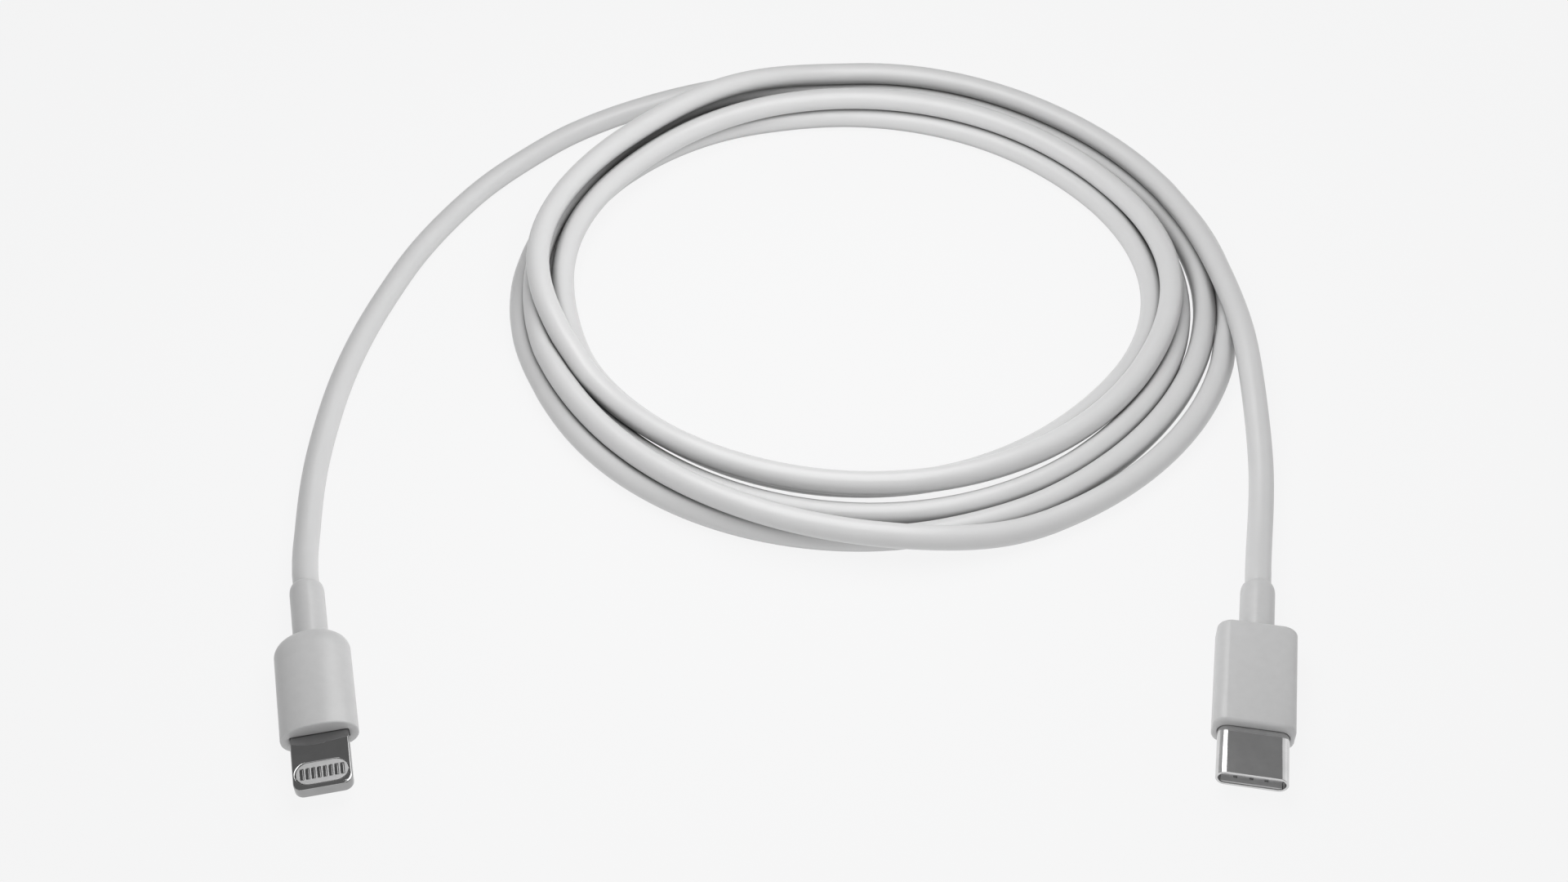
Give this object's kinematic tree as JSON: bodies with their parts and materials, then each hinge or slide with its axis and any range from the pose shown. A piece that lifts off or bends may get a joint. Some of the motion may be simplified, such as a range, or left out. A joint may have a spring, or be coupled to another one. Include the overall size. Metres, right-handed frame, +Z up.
{
  "type": "charging cable",
  "caption": "Round white charging cable lying in a loose coil, with a flat blade plug at one end and an oval metal plug at the other, each behind a strain relief.",
  "frame": {"origin": "on the surface the cable lies on, in the middle of the box round the two plugs", "axes": "+Z up; +X from the blade plug to the oval plug; both plugs point towards -Y and the coil lies on the +Y side"},
  "size_m": [0.1265, 0.1391, 0.0076],
  "materials": {
    "cord_jacket": "satin, slightly soft",
    "white_plastic": "satin moulded",
    "insert_plastic": "fine matt",
    "grey_plastic": "fine matt",
    "contact_plating": "bright plated",
    "wire_copper": "drawn copper",
    "circuit_board": "green solder mask",
    "chip_black": "moulded black",
    "dark_steel": "polished dark",
    "bright_steel": "polished"
  },
  "bodies": {
    "cable": {"blade_board": "circuit_board", "blade_chip": "chip_black", "blade_contact_bottom_01": "contact_plating", "blade_contact_bottom_02": "contact_plating", "blade_contact_bottom_03": "contact_plating", "blade_contact_bottom_04": "contact_plating", "blade_contact_bottom_05": "contact_plating", "blade_contact_bottom_06": "contact_plating", "blade_contact_bottom_07": "contact_plating", "blade_contact_bottom_08": "contact_plating", "blade_contact_top_01": "contact_plating", "blade_contact_top_02": "contact_plating", "blade_contact_top_03": "contact_plating", "blade_contact_top_04": "contact_plating", "blade_contact_top_05": "contact_plating", "blade_contact_top_06": "contact_plating", "blade_contact_top_07": "contact_plating", "blade_contact_top_08": "contact_plating", "blade_cover": "white_plastic", "blade_crimp_ring": "bright_steel", "blade_insert_bottom": "insert_plastic", "blade_insert_top": "insert_plastic", "blade_plate": "dark_steel", "blade_sleeve": "white_plastic", "blade_wire_data_a": "wire_copper", "blade_wire_data_b": "wire_copper", "blade_wire_ground": "wire_copper", "blade_wire_power": "wire_copper", "cord_coil": "cord_jacket", "cord_lead_blade": "cord_jacket", "cord_lead_oval": "cord_jacket", "oval_board": "circuit_board", "oval_chip": "chip_black", "oval_contact_a01": "contact_plating", "oval_contact_a04": "contact_plating", "oval_contact_a05": "contact_plating", "oval_contact_a06": "contact_plating", "oval_contact_a07": "contact_plating", "oval_contact_a09": "contact_plating", "oval_contact_a12": "contact_plating", "oval_contact_b01": "contact_plating", "oval_contact_b04": "contact_plating", "oval_contact_b05": "contact_plating", "oval_contact_b09": "contact_plating", "oval_contact_b12": "contact_plating", "oval_cover": "white_plastic", "oval_crimp_ring": "bright_steel", "oval_insulator": "grey_plastic", "oval_shell": "bright_steel", "oval_sleeve": "white_plastic", "oval_wire_data_a": "wire_copper", "oval_wire_data_b": "wire_copper", "oval_wire_ground": "wire_copper", "oval_wire_power": "wire_copper"},
    "latch_left": {"oval_latch_left": "bright_steel"},
    "latch_right": {"oval_latch_right": "bright_steel"}
  },
  "joints": [
    {"name": "latch_right_flex", "type": "hinge", "parent": "cable", "child": "latch_right", "pos_m": [0.05681, -0.00886, 0.00235], "axis": [0, 0, 1], "range_deg": [0, 2.5], "stiffness_Nm_per_rad": 0.02},
    {"name": "latch_left_flex", "type": "hinge", "parent": "cable", "child": "latch_left", "pos_m": [0.05021, -0.0077, 0.00235], "axis": [0, 0, 1], "range_deg": [-2.5, 0], "stiffness_Nm_per_rad": 0.02}
  ]
}
